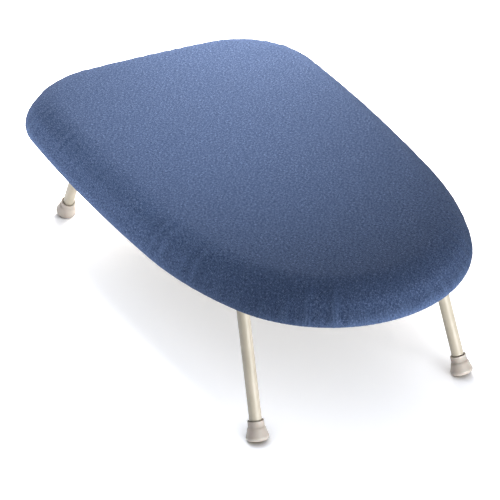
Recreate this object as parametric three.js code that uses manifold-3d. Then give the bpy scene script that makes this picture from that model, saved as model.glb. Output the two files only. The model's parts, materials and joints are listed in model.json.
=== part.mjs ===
// Tabletop ironing board: a dished steel top under a foam pad and a fitted fabric cover,
// standing on two folding U-shaped tube legs. Millimetres, +Z up, +X towards the rounded nose.
// The origin lies on the table, midway between the nose and the back edge.
import * as THREE from "three";
import { mergeVertices } from "three/addons/utils/BufferGeometryUtils.js";
import Module from "manifold-3d";

const wasm = await Module();
wasm.setup();

// ---------------------------------------------------------------- driving dimensions
const LENGTH = 600; // nose to back edge, over the cover
const HEIGHT = 185; // table to ironing surface
const GAP = 0.3; // air left between neighbouring parts
const radians = THREE.MathUtils.degToRad;

// Plan outline: tangent arcs from the middle of the back edge, round one side, to the nose.
// The side and nose radii follow from the length and from closing the outline on the centre line.
const BACK_ARC = { turn: radians(2.45), radius: 1900, steps: 2 };
const CORNER_ARC = { turn: radians(86.7), radius: 108.6, steps: 8 };
const SIDE_ARC = { turn: radians(7.3), steps: 2 };
const SHOULDER_ARC = { turn: radians(18.95), radius: 397, steps: 4 };
const NOSE_ARC = { turn: radians(64.6), steps: 6 };

// Layers of the top, from the outside in, and the curve of its edge.
const EDGE_REACH = 41; // how far in from the edge the top starts to fall
const EDGE_BOTTOM = 153; // where the edge is upright
const EDGE_POWER = 1.65; // superellipse power of the falling curve
const EDGE_STEPS = 5;
const COVER_THICKNESS = 1.2;
const PAD_THICKNESS = 6;
const PAD_EDGE_THICKNESS = 3.8;
const PANEL_THICKNESS = 0.8;

// Hem of the cover, folded round its elastic under the board.
const ROLL_RADIUS = 3.5;
const HEM_INSET = 24;
const HEM_LIP_INSET = 17;
const ELASTIC_RADIUS = 1.5;
const RIM_WIRE_RADIUS = 3;
const RIM_WIRE_INSET = 12;
const RIM_WIRE_Z = 156.8;

// Cross rails: hat-section pressings under the panel, one over each leg's pivot.
const RAIL = { webHalf: 22, lipHalf: 32, height: 11.2, thickness: 1.2, halfLength: 128 };

// Legs: each a tube bent to a U, with its crossbar held under a rail.
const TUBE_RADIUS = 6.5;
const TUBE_WALL = 1.1;
const BEND_RADIUS = 22;
const LEAN = radians(23.5); // of an open leg, outwards from the upright
const FOOT_SPREAD = 122.4; // centre line of the board to where a leg's axis meets the table
const SPLAY = 0.0884; // sideways travel of a leg for each millimetre of height
const FRONT_FOOT_X = 235.9;
const REAR_FOOT_X = -265.5;
const TUBE_SIDES = 12;
const STEPS_PER_PIECE = 5;

// Moulded foot, a collar with a bell under it. The trim is what wear has flattened on the table.
const FOOT = {
  height: 20.5,
  shoulder: 13.8,
  collar: 8.6,
  bell: 12,
  waist: 11.4,
  base: 9,
  floor: 4.5,
  trim: 1.5,
  clearance: 0.4,
  sides: 18,
};

// Leg bracket: a strap round the crossbar with a stop leaf that the open leg leans on.
const BRACKET = {
  thickness: 1.5,
  flangeHalf: 21,
  strapCentre: 76,
  strapWidth: 16,
  leafStart: 94,
  leafEnd: 110,
  leafReach: 20,
  rivetOffset: 15,
};

// Clip that holds a folded leg, and the rivets.
const CLIP = { along: 105, length: 14, jaw: 2, clearance: 0.2, depth: 4, headroom: 0.4, counterbore: 2.3 };
const RIVET = { shank: 2, hole: 2.3, head: 4, headHeight: 1.6, panelHeadHeight: 1, sides: 10 };

// ---------------------------------------------------------------- derived dimensions
const PAD_TOP = HEIGHT - COVER_THICKNESS - GAP;
const PANEL_TOP = PAD_TOP - PAD_THICKNESS - GAP;
const PANEL_UNDERSIDE = PANEL_TOP - PANEL_THICKNESS;
const PAD_INSET = COVER_THICKNESS + GAP;
const PANEL_INSET = PAD_INSET + PAD_EDGE_THICKNESS + GAP;
const CAVITY_INSET = PANEL_INSET + PANEL_THICKNESS;
const RAIL_TOP = PANEL_UNDERSIDE - GAP;
const RAIL_UNDERSIDE = RAIL_TOP - RAIL.height;
const PIVOT_Z = RAIL_UNDERSIDE - GAP - TUBE_RADIUS;
const HEM_UNDERSIDE = EDGE_BOTTOM - ROLL_RADIUS;
const CASING_RADIUS = ELASTIC_RADIUS + GAP + COVER_THICKNESS;
const ELASTIC_Z = HEM_UNDERSIDE + CASING_RADIUS;
const LEG_DROP = PIVOT_Z / Math.cos(LEAN); // pivot to table, down the plane of the leg
const CORNER_Y = FOOT_SPREAD - PIVOT_Z * SPLAY; // where the axes of crossbar and arm would meet
const ARM_ANGLE = Math.atan2(FOOT_SPREAD - CORNER_Y, LEG_DROP);
const TILT = Math.atan(Math.hypot(Math.tan(LEAN), SPLAY)); // of an arm from the upright

// ---------------------------------------------------------------- materials
function paint(color, roughness, metalness = 0) {
  return new THREE.MeshStandardMaterial({ color, roughness, metalness });
}
const FABRIC = paint(0x4a5c86, 0.95);
const ELASTIC = paint(0xe6e3dc, 0.8);
const FOAM = paint(0xd9d5cc, 0.95);
const PAINTED_STEEL = paint(0xded3bd, 0.42, 0.1);
const RIVET_STEEL = paint(0xc9c9c6, 0.35, 0.9);
const FOOT_PLASTIC = paint(0xd8cec6, 0.4);
const CLIP_PLASTIC = paint(0xe4ddcf, 0.45);

// ---------------------------------------------------------------- plan outline
const HALF_OUTLINE = [BACK_ARC, CORNER_ARC, SIDE_ARC, SHOULDER_ARC, NOSE_ARC];

// Travel along an arc of radius 1 that turns clockwise from a heading.
function unitTravel(heading, turn) {
  return {
    x: Math.sin(heading) - Math.sin(heading - turn),
    y: Math.cos(heading - turn) - Math.cos(heading),
  };
}

// Solves the side and nose radii, so that the half outline is LENGTH long and ends on the centre line.
function solveOutline() {
  let heading = Math.PI / 2;
  const sum = { x: -LENGTH, y: 0 };
  for (const arc of HALF_OUTLINE) {
    arc.heading = heading;
    arc.travel = unitTravel(heading, arc.turn);
    if (arc.radius) {
      sum.x += arc.radius * arc.travel.x;
      sum.y += arc.radius * arc.travel.y;
    }
    heading -= arc.turn;
  }
  const side = SIDE_ARC.travel;
  const nose = NOSE_ARC.travel;
  const det = side.x * nose.y - side.y * nose.x;
  SIDE_ARC.radius = (-sum.x * nose.y + sum.y * nose.x) / det;
  NOSE_ARC.radius = (-side.x * sum.y + side.y * sum.x) / det;
}
solveOutline();

// The outline moved inwards by inset, as points that run anticlockwise seen from above.
function outline(inset) {
  const half = [];
  const start = new THREE.Vector2(-LENGTH / 2, 0);
  for (const { heading, turn, radius, steps, travel } of HALF_OUTLINE) {
    const centreX = start.x + radius * Math.sin(heading);
    const centreY = start.y - radius * Math.cos(heading);
    const from = heading + Math.PI / 2;
    const r = radius - inset;
    const arc = new THREE.EllipseCurve(centreX, centreY, r, r, from, from - turn, true);
    half.push(...arc.getPoints(steps).slice(0, -1));
    start.x += radius * travel.x;
    start.y += radius * travel.y;
  }
  half.push(new THREE.Vector2(LENGTH / 2 - inset, 0));
  half[0].y = 0;
  const other = half.slice(1, -1).map((p) => new THREE.Vector2(p.x, -p.y));
  return [...half, ...other.reverse()].reverse();
}

// ---------------------------------------------------------------- solids
// Sweeps a section of [inset, z] points round the outline. A closed section makes a hoop. An open
// one, listed from the top's outer face round to its inner face, makes a dish with flat middles.
function sweepRound(section, closed) {
  const rings = section.map(([inset, z]) => outline(inset).map((p) => [p.x, p.y, z]));
  const count = rings[0].length;
  const index = [];
  const lastBand = closed ? rings.length : rings.length - 1;
  for (let i = 0; i < lastBand; i++) {
    const upper = i * count;
    const lower = ((i + 1) % rings.length) * count;
    for (let j = 0; j < count; j++) {
      const k = (j + 1) % count;
      index.push(upper + j, lower + j, lower + k, upper + j, lower + k, upper + k);
    }
  }
  if (!closed) {
    const last = (rings.length - 1) * count;
    for (const [a, b, c] of flatMiddle(section[0][0])) index.push(a, b, c);
    for (const [a, b, c] of flatMiddle(section.at(-1)[0])) index.push(last + c, last + b, last + a);
  }
  const geometry = new THREE.BufferGeometry();
  geometry.setAttribute("position", new THREE.Float32BufferAttribute(rings.flat(2), 3));
  return geometry.setIndex(index);
}

function flatMiddle(inset) {
  return THREE.ShapeUtils.triangulateShape(outline(inset), []);
}

function toManifold(geometry) {
  const bare = geometry.clone();
  bare.deleteAttribute("normal");
  bare.deleteAttribute("uv");
  const merged = mergeVertices(bare, 1e-4);
  return new wasm.Manifold(
    new wasm.Mesh({
      numProp: 3,
      vertProperties: new Float32Array(merged.getAttribute("position").array),
      triVerts: new Uint32Array(merged.index.array),
    }),
  );
}

function toGeometry(solid) {
  const mesh = solid.getMesh();
  const geometry = new THREE.BufferGeometry();
  geometry.setAttribute("position", new THREE.BufferAttribute(mesh.vertProperties, 3));
  geometry.setIndex(new THREE.BufferAttribute(mesh.triVerts, 1));
  geometry.computeVertexNormals();
  return geometry;
}

function cut(geometry, ...tools) {
  return toGeometry(tools.reduce((solid, tool) => solid.subtract(toManifold(tool)), toManifold(geometry)));
}

function join(...geometries) {
  return toGeometry(geometries.map(toManifold).reduce((all, one) => all.add(one)));
}

// A profile drawn in the XZ plane, extruded along Y from one station to the other.
function extrudeAlongY(shape, fromY, toY) {
  const geometry = new THREE.ExtrudeGeometry(shape, {
    depth: toY - fromY,
    bevelEnabled: false,
    curveSegments: 8,
  });
  return geometry.rotateX(Math.PI / 2).translate(0, toY, 0);
}

// An upright cylinder between two heights.
function pillar(x, y, radius, fromZ, toZ, sides = RIVET.sides) {
  return new THREE.CylinderGeometry(radius, radius, toZ - fromZ, sides)
    .rotateX(Math.PI / 2)
    .translate(x, y, (fromZ + toZ) / 2);
}

function part(name, geometry, material) {
  const mesh = new THREE.Mesh(geometry, material);
  mesh.name = name;
  return mesh;
}

// ---------------------------------------------------------------- the padded top
// The edge of one layer, from its flat middle out and down to where it stands upright.
function edgeCurve(inset, top) {
  const points = [];
  for (let i = 0; i <= EDGE_STEPS; i++) {
    const angle = (i / EDGE_STEPS) * (Math.PI / 2);
    const out = Math.sin(angle) ** (2 / EDGE_POWER);
    const up = i === EDGE_STEPS ? 0 : Math.cos(angle) ** (2 / EDGE_POWER);
    points.push([inset + EDGE_REACH * (1 - out), EDGE_BOTTOM + (top - EDGE_BOTTOM) * up]);
  }
  return points;
}

// Points of a circle in the section plane, from one angle to another. Angle 0 points inwards.
function sectionArc(inset, z, radius, from, to, steps) {
  const points = [];
  for (let i = 0; i <= steps; i++) {
    const angle = from + ((to - from) * i) / steps;
    points.push([inset + radius * Math.cos(angle), z + radius * Math.sin(angle)]);
  }
  return points;
}

function dish(inset, top, innerInset, innerTop) {
  return sweepRound([...edgeCurve(inset, top), ...edgeCurve(innerInset, innerTop).reverse()], false);
}

function coverGeometry() {
  const quarter = Math.PI / 2;
  const inner = ROLL_RADIUS - COVER_THICKNESS;
  const outside = [
    ...edgeCurve(0, HEIGHT),
    ...sectionArc(ROLL_RADIUS, EDGE_BOTTOM, ROLL_RADIUS, -2 * quarter, -quarter, 2).slice(1),
    ...sectionArc(HEM_INSET, ELASTIC_Z, CASING_RADIUS, -quarter, quarter, 3),
    [HEM_LIP_INSET, ELASTIC_Z + CASING_RADIUS],
  ];
  const inside = [
    [HEM_LIP_INSET, ELASTIC_Z + CASING_RADIUS - COVER_THICKNESS],
    ...sectionArc(HEM_INSET, ELASTIC_Z, CASING_RADIUS - COVER_THICKNESS, quarter, -quarter, 3),
    ...sectionArc(ROLL_RADIUS, EDGE_BOTTOM, inner, -quarter, -2 * quarter, 2).slice(0, -1),
    ...edgeCurve(COVER_THICKNESS, HEIGHT - COVER_THICKNESS).reverse(),
  ];
  return sweepRound([...outside, ...inside], false);
}

function hoop(inset, z, radius, sides) {
  const turn = (2 * Math.PI) / sides;
  return sweepRound(sectionArc(inset, z, radius, 0.5 * Math.PI, 2.5 * Math.PI - turn, sides - 1), true);
}

// The space inside the panel, which the rails are cut to.
function cavity() {
  const edge = edgeCurve(CAVITY_INSET + GAP, PANEL_UNDERSIDE - GAP);
  return sweepRound([...edge, [CAVITY_INSET + GAP, EDGE_BOTTOM - 10]], false);
}

// ---------------------------------------------------------------- legs
// A path of pieces that share the parameter equally, so that each bend gets as many steps as an arm.
class PiecewisePath extends THREE.Curve {
  constructor(pieces) {
    super();
    this.pieces = pieces;
  }
  getPoint(t, target = new THREE.Vector3()) {
    const s = Math.min(t * this.pieces.length, this.pieces.length - 1e-9);
    return this.pieces[Math.floor(s)].getPoint(s % 1, target);
  }
  getUtoTmapping(u) {
    return u;
  }
}

// Where the foot's base meets the leg's axis, measured down the arm from its corner.
const FILLET = FOOT.bell - FOOT.base;
const FOOT_DIP = FOOT.base * Math.sin(TILT) + FILLET * (1 - Math.cos(TILT));
const ARM_LENGTH = (PIVOT_Z - FOOT_DIP + FOOT.trim) / Math.cos(TILT);

// The U in the leg's own frame: crossbar along Y through the origin, arms down -Z.
function legPath() {
  const tangent = BEND_RADIUS * Math.tan((Math.PI / 2 - ARM_ANGLE) / 2);
  const pull = (4 / 3) * Math.tan((Math.PI / 2 - ARM_ANGLE) / 4) * BEND_RADIUS;
  const end = ARM_LENGTH - FOOT.floor - GAP;
  const along = (side, distance) =>
    new THREE.Vector3(
      0,
      side * (CORNER_Y + distance * Math.sin(ARM_ANGLE)),
      -distance * Math.cos(ARM_ANGLE),
    );
  const bar = (side, short) => new THREE.Vector3(0, side * (CORNER_Y - tangent + short), 0);
  const bend = (side) =>
    new THREE.CubicBezierCurve3(
      bar(side, 0),
      bar(side, pull),
      along(side, tangent - pull),
      along(side, tangent),
    );
  const left = bend(-1);
  return new PiecewisePath([
    new THREE.LineCurve3(along(-1, end), along(-1, tangent)),
    new THREE.CubicBezierCurve3(left.v3, left.v2, left.v1, left.v0),
    new THREE.LineCurve3(bar(-1, 0), bar(1, 0)),
    bend(1),
    new THREE.LineCurve3(along(1, tangent), along(1, end)),
  ]);
}

function tubeGeometry() {
  const section = new THREE.Shape().absarc(0, 0, TUBE_RADIUS, 0, 2 * Math.PI);
  section.holes.push(new THREE.Path().absarc(0, 0, TUBE_RADIUS - TUBE_WALL, 0, 2 * Math.PI));
  const path = legPath();
  return new THREE.ExtrudeGeometry(section, {
    extrudePath: path,
    steps: STEPS_PER_PIECE * path.pieces.length,
    curveSegments: TUBE_SIDES / 2,
    bevelEnabled: false,
  });
}

// The foot stands on its base at the origin, with its axis up Z.
function footGeometry() {
  const bore = TUBE_RADIUS + FOOT.clearance;
  const fillet = new THREE.Path().absarc(FOOT.base, FILLET, FILLET, -Math.PI / 2, 0);
  const flare = new THREE.QuadraticBezierCurve(
    new THREE.Vector2(FOOT.bell, FILLET + 1.5),
    new THREE.Vector2(FOOT.waist, FOOT.shoulder - 2.5),
    new THREE.Vector2(FOOT.collar, FOOT.shoulder),
  );
  const profile = [
    new THREE.Vector2(0, 0),
    ...fillet.getPoints(2),
    ...flare.getPoints(4),
    new THREE.Vector2(FOOT.collar, FOOT.height),
    new THREE.Vector2(bore, FOOT.height),
    new THREE.Vector2(bore, FOOT.floor),
    new THREE.Vector2(0, FOOT.floor),
  ];
  return new THREE.LatheGeometry(profile, FOOT.sides).rotateX(Math.PI / 2);
}

// A leg hangs from its pivot. Outwards is 1 for the leg at the nose and -1 for the one at the back.
function makeLeg(end, outwards, footX) {
  const leg = new THREE.Group();
  leg.position.set(footX - outwards * PIVOT_Z * Math.tan(LEAN), 0, PIVOT_Z);
  leg.rotation.y = -outwards * LEAN;
  leg.updateMatrix();
  leg.add(part(`${end}_leg_tube`, tubeGeometry(), PAINTED_STEEL));
  const table = new THREE.BoxGeometry(1000, 1000, 50).translate(0, 0, -25);
  table.applyMatrix4(leg.matrix.clone().invert());
  for (const [side, name] of [
    [-1, "left"],
    [1, "right"],
  ]) {
    const foot = footGeometry()
      .rotateX(side * ARM_ANGLE)
      .translate(0, side * (CORNER_Y + ARM_LENGTH * Math.sin(ARM_ANGLE)), -ARM_LENGTH * Math.cos(ARM_ANGLE));
    leg.add(part(`${end}_foot_${name}`, cut(foot, table), FOOT_PLASTIC));
  }
  return leg;
}

// ---------------------------------------------------------------- rails, brackets, clips
function railProfile() {
  const { webHalf, lipHalf, height, thickness } = RAIL;
  const z = RAIL_UNDERSIDE - PIVOT_Z;
  const corners = [
    [lipHalf, z + height],
    [webHalf - thickness, z + height],
    [webHalf - thickness, z + thickness],
    [-webHalf + thickness, z + thickness],
    [-webHalf + thickness, z + height],
    [-lipHalf, z + height],
    [-lipHalf, z + height - thickness],
    [-webHalf, z + height - thickness],
    [-webHalf, z],
    [webHalf, z],
    [webHalf, z + height - thickness],
    [lipHalf, z + height - thickness],
  ];
  return new THREE.Shape(corners.map(([x, y]) => new THREE.Vector2(x, y)));
}

// Where the bracket rivets stand, from the pivot.
function rivetPlaces() {
  const { rivetOffset, strapCentre } = BRACKET;
  return [-1, 1].flatMap((side) => [-1, 1].map((across) => [across * rivetOffset, side * strapCentre]));
}

function railGeometry(pivotX) {
  const blank = extrudeAlongY(railProfile(), -RAIL.halfLength, RAIL.halfLength);
  const holes = rivetPlaces().map(([x, y]) => pillar(x, y, RIVET.hole, 0, 12));
  const room = cavity().translate(-pivotX, 0, -PIVOT_Z);
  return toGeometry(toManifold(cut(blank, ...holes)).intersect(toManifold(room)));
}

// The strap seen from the side: flanges under the rail and a half turn under the crossbar.
function strapProfile() {
  const { thickness, flangeHalf } = BRACKET;
  const inner = TUBE_RADIUS + GAP;
  const outer = inner + thickness;
  const top = TUBE_RADIUS;
  const bottom = top - thickness;
  return new THREE.Shape()
    .moveTo(-flangeHalf, top)
    .lineTo(-flangeHalf, bottom)
    .lineTo(-outer, bottom)
    .lineTo(-outer, 0)
    .absarc(0, 0, outer, Math.PI, 2 * Math.PI, false)
    .lineTo(outer, bottom)
    .lineTo(flangeHalf, bottom)
    .lineTo(flangeHalf, top)
    .lineTo(inner, top)
    .lineTo(inner, 0)
    .absarc(0, 0, inner, 0, -Math.PI, true)
    .lineTo(-inner, top);
}

// The stop leaf seen from the side: it lies against the outer face of the open leg.
function leafProfile() {
  const { thickness, flangeHalf, leafReach } = BRACKET;
  const top = TUBE_RADIUS;
  const across = new THREE.Vector2(Math.cos(LEAN), Math.sin(LEAN));
  const down = new THREE.Vector2(Math.sin(LEAN), -Math.cos(LEAN));
  const inner = TUBE_RADIUS + GAP;
  const outer = inner + thickness;
  const at = (distance, travel) =>
    across.clone().multiplyScalar(distance).addScaledVector(down, travel);
  const atHeight = (distance, z) => at(distance, (distance * across.y - z) / Math.cos(LEAN));
  return new THREE.Shape([
    new THREE.Vector2(flangeHalf, top),
    atHeight(inner, top),
    at(inner, leafReach),
    at(outer, leafReach),
    atHeight(outer, top - thickness),
    new THREE.Vector2(flangeHalf, top - thickness),
  ]);
}

// A bracket in the pivot's frame, on the side of the board that `side` gives.
function bracketGeometry(side) {
  const { thickness, flangeHalf, strapCentre, strapWidth, leafStart, leafEnd } = BRACKET;
  const strapStart = strapCentre - strapWidth / 2;
  const span = (shape, from, to) =>
    side > 0 ? extrudeAlongY(shape, from, to) : extrudeAlongY(shape, -to, -from);
  const width = flangeHalf - TUBE_RADIUS - GAP - thickness - 1;
  const bridge = new THREE.BoxGeometry(width, leafEnd - strapStart, thickness).translate(
    flangeHalf - width / 2,
    (side * (leafEnd + strapStart)) / 2,
    TUBE_RADIUS - thickness / 2,
  );
  const blank = join(
    span(strapProfile(), strapStart, strapStart + strapWidth),
    span(leafProfile(), leafStart, leafEnd),
    bridge,
  );
  const holes = rivetPlaces()
    .filter(([, y]) => y * side > 0)
    .map(([x, y]) => pillar(x, y, RIVET.hole, 0, 12));
  return cut(blank, ...holes);
}

// A rivet with a domed head below and a formed head above, gripping from one height to the other.
function rivetGeometry(x, y, gripFrom, gripTo, upperHeight) {
  const { shank, head, headHeight, sides } = RIVET;
  const profile = [
    [0, gripFrom - headHeight],
    [head * 0.6, gripFrom - headHeight],
    [head, gripFrom - headHeight * 0.35],
    [head, gripFrom],
    [shank, gripFrom],
    [shank, gripTo],
    [head, gripTo],
    [head, gripTo + upperHeight * 0.4],
    [head * 0.7, gripTo + upperHeight],
    [0, gripTo + upperHeight],
  ];
  return new THREE.LatheGeometry(profile.map(([r, z]) => new THREE.Vector2(r, z)), sides)
    .rotateX(Math.PI / 2)
    .translate(x, y, 0);
}

// A rail with the brackets and rivets that hold a leg's crossbar. It is turned end for end at the
// back, so left and right are named for where each piece lands.
function makePivotGroup(end, outwards, pivotX) {
  const group = new THREE.Group();
  group.position.set(pivotX, 0, PIVOT_Z);
  group.rotation.z = outwards > 0 ? 0 : Math.PI;
  group.add(part(`${end}_rail`, railGeometry(outwards * pivotX), PAINTED_STEEL));
  for (const side of [-1, 1]) {
    const name = side * outwards < 0 ? "left" : "right";
    group.add(part(`${end}_leg_bracket_${name}`, bracketGeometry(side), PAINTED_STEEL));
  }
  const gripFrom = TUBE_RADIUS - BRACKET.thickness - GAP;
  const gripTo = TUBE_RADIUS + GAP + RAIL.thickness + GAP;
  for (const [x, y] of rivetPlaces()) {
    const name = `${end}_rivet_${y * outwards < 0 ? "left" : "right"}_${x > 0 ? "outer" : "inner"}`;
    group.add(part(name, rivetGeometry(x, y, gripFrom, gripTo, RIVET.headHeight), RIVET_STEEL));
  }
  return group;
}

const CLIP_FLOOR = TUBE_RADIUS + CLIP.headroom;
const CLIP_TOP = PANEL_UNDERSIDE - PIVOT_Z - GAP;

// The clip in its own frame: the folded tube would lie along Y through the origin.
function clipGeometry() {
  const inner = TUBE_RADIUS + CLIP.clearance;
  const outer = inner + CLIP.jaw;
  const waist = outer - 3;
  const shape = new THREE.Shape(
    [
      [outer, -CLIP.depth],
      [outer, CLIP_FLOOR + 2],
      [waist, CLIP_TOP - 4],
      [outer, CLIP_TOP - 1.5],
      [outer, CLIP_TOP],
      [-outer, CLIP_TOP],
      [-outer, CLIP_TOP - 1.5],
      [-waist, CLIP_TOP - 4],
      [-outer, CLIP_FLOOR + 2],
      [-outer, -CLIP.depth],
      [-inner - 0.8, -CLIP.depth],
      [-inner, -CLIP.depth + 1.5],
      [-inner, CLIP_FLOOR],
      [inner, CLIP_FLOOR],
      [inner, -CLIP.depth + 1.5],
      [inner + 0.8, -CLIP.depth],
    ].map(([x, y]) => new THREE.Vector2(x, y)),
  );
  return cut(
    extrudeAlongY(shape, -CLIP.length / 2, CLIP.length / 2),
    pillar(0, 0, RIVET.hole, 0, 30),
    pillar(0, 0, RIVET.head + GAP, 0, CLIP_FLOOR + CLIP.counterbore),
  );
}

// Each clip's place on the board, with the angle that its slot is turned to.
function clipPlaces(end, outwards, pivotX) {
  return [-1, 1].map((side) => ({
    name: `${end}_stow_clip_${side < 0 ? "left" : "right"}`,
    x: pivotX - outwards * CLIP.along * Math.cos(ARM_ANGLE),
    y: side * (CORNER_Y + CLIP.along * Math.sin(ARM_ANGLE)),
    turn: Math.PI / 2 - side * outwards * ARM_ANGLE,
  }));
}

function makeClip({ name, x, y, turn }) {
  const group = new THREE.Group();
  group.position.set(x, y, PIVOT_Z);
  group.rotation.z = turn;
  group.add(part(name, clipGeometry(), CLIP_PLASTIC));
  const gripFrom = CLIP_FLOOR + CLIP.counterbore - GAP;
  const gripTo = PANEL_TOP + GAP - PIVOT_Z;
  const rivet = rivetGeometry(0, 0, gripFrom, gripTo, RIVET.panelHeadHeight);
  group.add(part(`${name}_rivet`, rivet, RIVET_STEEL));
  return group;
}

// ---------------------------------------------------------------- the board
const frontPivotX = FRONT_FOOT_X - PIVOT_Z * Math.tan(LEAN);
const rearPivotX = REAR_FOOT_X + PIVOT_Z * Math.tan(LEAN);
const clips = [...clipPlaces("front", 1, frontPivotX), ...clipPlaces("rear", -1, rearPivotX)];

const panelHoles = clips.map(({ x, y }) =>
  pillar(x, y, RIVET.hole, PANEL_UNDERSIDE - 5, PANEL_TOP + 5),
);
const padDimples = clips.map(({ x, y }) =>
  pillar(x, y, RIVET.head + 0.6, PANEL_TOP - 1, PANEL_TOP + 2 * GAP + RIVET.panelHeadHeight + 0.1),
);
const padGeometry = dish(PAD_INSET, PAD_TOP, PAD_INSET + PAD_EDGE_THICKNESS, PAD_TOP - PAD_THICKNESS);
const panelGeometry = dish(PANEL_INSET, PANEL_TOP, CAVITY_INSET, PANEL_UNDERSIDE);

const board = new THREE.Group();
board.add(
  part("cover", coverGeometry(), FABRIC),
  part("hem_elastic", hoop(HEM_INSET, ELASTIC_Z, ELASTIC_RADIUS, 5), ELASTIC),
  part("foam_pad", cut(padGeometry, ...padDimples), FOAM),
  part("mesh_panel", cut(panelGeometry, ...panelHoles), PAINTED_STEEL),
  part("rim_wire", hoop(RIM_WIRE_INSET, RIM_WIRE_Z, RIM_WIRE_RADIUS, 6), PAINTED_STEEL),
  makePivotGroup("front", 1, frontPivotX),
  makePivotGroup("rear", -1, rearPivotX),
  ...clips.map(makeClip),
  makeLeg("front", 1, FRONT_FOOT_X),
  makeLeg("rear", -1, REAR_FOOT_X),
);

export default board;
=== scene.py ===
"""A tabletop ironing board: fitted cloth cover, foam pad and expanded-steel panel on two folding legs."""
import json
import math
from contextlib import contextmanager

import bmesh
import bpy
import numpy as np
from mathutils import Matrix, Vector
from mathutils.geometry import delaunay_2d_cdt


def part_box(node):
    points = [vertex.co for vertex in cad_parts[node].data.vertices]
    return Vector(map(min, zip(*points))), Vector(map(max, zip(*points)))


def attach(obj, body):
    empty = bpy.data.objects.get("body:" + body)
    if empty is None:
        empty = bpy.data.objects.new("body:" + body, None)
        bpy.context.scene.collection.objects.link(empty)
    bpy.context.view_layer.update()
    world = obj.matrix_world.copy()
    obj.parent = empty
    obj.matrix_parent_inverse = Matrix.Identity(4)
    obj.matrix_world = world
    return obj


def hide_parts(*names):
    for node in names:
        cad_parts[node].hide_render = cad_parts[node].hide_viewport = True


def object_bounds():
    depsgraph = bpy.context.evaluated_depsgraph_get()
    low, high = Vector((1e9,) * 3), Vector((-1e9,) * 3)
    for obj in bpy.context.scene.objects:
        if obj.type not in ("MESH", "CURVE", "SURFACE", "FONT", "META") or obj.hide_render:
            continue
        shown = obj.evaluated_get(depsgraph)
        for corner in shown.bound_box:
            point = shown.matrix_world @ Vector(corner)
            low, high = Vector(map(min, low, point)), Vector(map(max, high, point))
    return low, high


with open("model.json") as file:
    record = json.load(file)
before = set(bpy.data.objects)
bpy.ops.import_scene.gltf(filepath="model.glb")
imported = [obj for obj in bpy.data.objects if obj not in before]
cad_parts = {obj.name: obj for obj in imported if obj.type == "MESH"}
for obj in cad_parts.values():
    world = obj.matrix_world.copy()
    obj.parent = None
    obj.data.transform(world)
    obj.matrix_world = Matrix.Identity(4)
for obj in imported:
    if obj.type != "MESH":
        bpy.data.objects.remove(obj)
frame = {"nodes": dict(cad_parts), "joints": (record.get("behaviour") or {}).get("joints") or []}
CAD_LOW, CAD_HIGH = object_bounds()

# -------- driving dimensions, in metres
# X runs along the board to its nose and Z up. Left is -Y.
MM = 0.001
LENGTH = CAD_HIGH.x - CAD_LOW.x
WIDTH = CAD_HIGH.y - CAD_LOW.y
TOP = CAD_HIGH.z
GAP = 0.3 * MM  # between pieces that touch

# Plan outline: (turn in degrees, radius) of tangent arcs from the middle of the back to the nose.
# A radius of None follows from the length and from closing on the centre line.
OUTLINE_ARCS = [(2.45, 1.9), (86.7, 0.1086), (7.3, None), (18.95, 0.397), (64.6, None)]

EDGE_REACH = 41 * MM  # from the flat of the top out to the outline
EDGE_BOTTOM = 153 * MM  # height where the edge stands upright
EDGE_POWER = 1.65  # of the superellipse between them: 2 is an ellipse
HOLLOW_DEPTH = 1.1 * MM
HOLLOW_WIDTH = 6.5 * MM
HOLLOW_RISE = 14.5 * MM  # along the cloth, from the bottom of the edge to the hollow's middle
COVER_THICKNESS = 1.2 * MM
PAD_THICKNESS = 6 * MM
PAD_EDGE_THICKNESS = 3.8 * MM
PANEL_THICKNESS = 0.8 * MM
ROLL_RADIUS = 3.5 * MM  # of the turn from the edge to the hem underneath
HEM_INSET = 24 * MM
HEM_LIP_INSET = 17 * MM
ELASTIC_RADIUS = 1.5 * MM
RIM_WIRE_RADIUS = 3 * MM
RIM_WIRE_INSET = 12 * MM

TUBE_RADIUS = 6.5 * MM
TUBE_WALL = 1.1 * MM
BEND_RADIUS = 22 * MM
LEAN = math.radians(23.5)  # of an open leg, away from the middle of the board
SPLAY = 0.0884  # how far an arm runs outwards for each unit of height
FOOT_SPREAD = 122.4 * MM  # from the middle of the board to the middle of a foot

# A foot's heights: whole, shoulder, floor of the bore, and what the table's flat cuts off its edge.
FOOT_HEIGHT = 20.5 * MM
FOOT_SHOULDER = 13.8 * MM
FOOT_FLOOR = 4.5 * MM
FOOT_TRIM = 1.5 * MM
# Its radii: collar round the tube, widest, flat of the base, and bore.
FOOT_COLLAR = 8.6 * MM
FOOT_BELL = 12 * MM
FOOT_BASE = 9 * MM
FOOT_BORE = TUBE_RADIUS + 0.8 * MM

PAD_INSET = COVER_THICKNESS + GAP
PAD_TOP = TOP - COVER_THICKNESS - GAP
PANEL_INSET = PAD_INSET + PAD_EDGE_THICKNESS + GAP
PANEL_TOP = PAD_TOP - PAD_THICKNESS - GAP
CASING_RADIUS = ELASTIC_RADIUS + GAP + COVER_THICKNESS
HEM_UNDERSIDE = EDGE_BOTTOM - ROLL_RADIUS
ELASTIC_Z = HEM_UNDERSIDE + CASING_RADIUS

JOINTS = {joint["child"]: joint for joint in frame["joints"]}


# -------- helpers for objects and meshes
def link(name, mesh):
    piece = bpy.data.objects.new(name, mesh)
    bpy.context.scene.collection.objects.link(piece)
    return piece


def finish_piece(piece, material, body="board", replaces=(), crease=40):
    """Gives a piece its material, shading and body, and hides the CAD nodes that it stands for."""
    piece.data.materials.clear()
    piece.data.materials.append(material)
    piece.data.shade_smooth()
    if crease:
        piece.data.set_sharp_from_angle(angle=math.radians(crease))
    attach(piece, body)
    if replaces:
        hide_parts(*replaces)
    return piece


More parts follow.
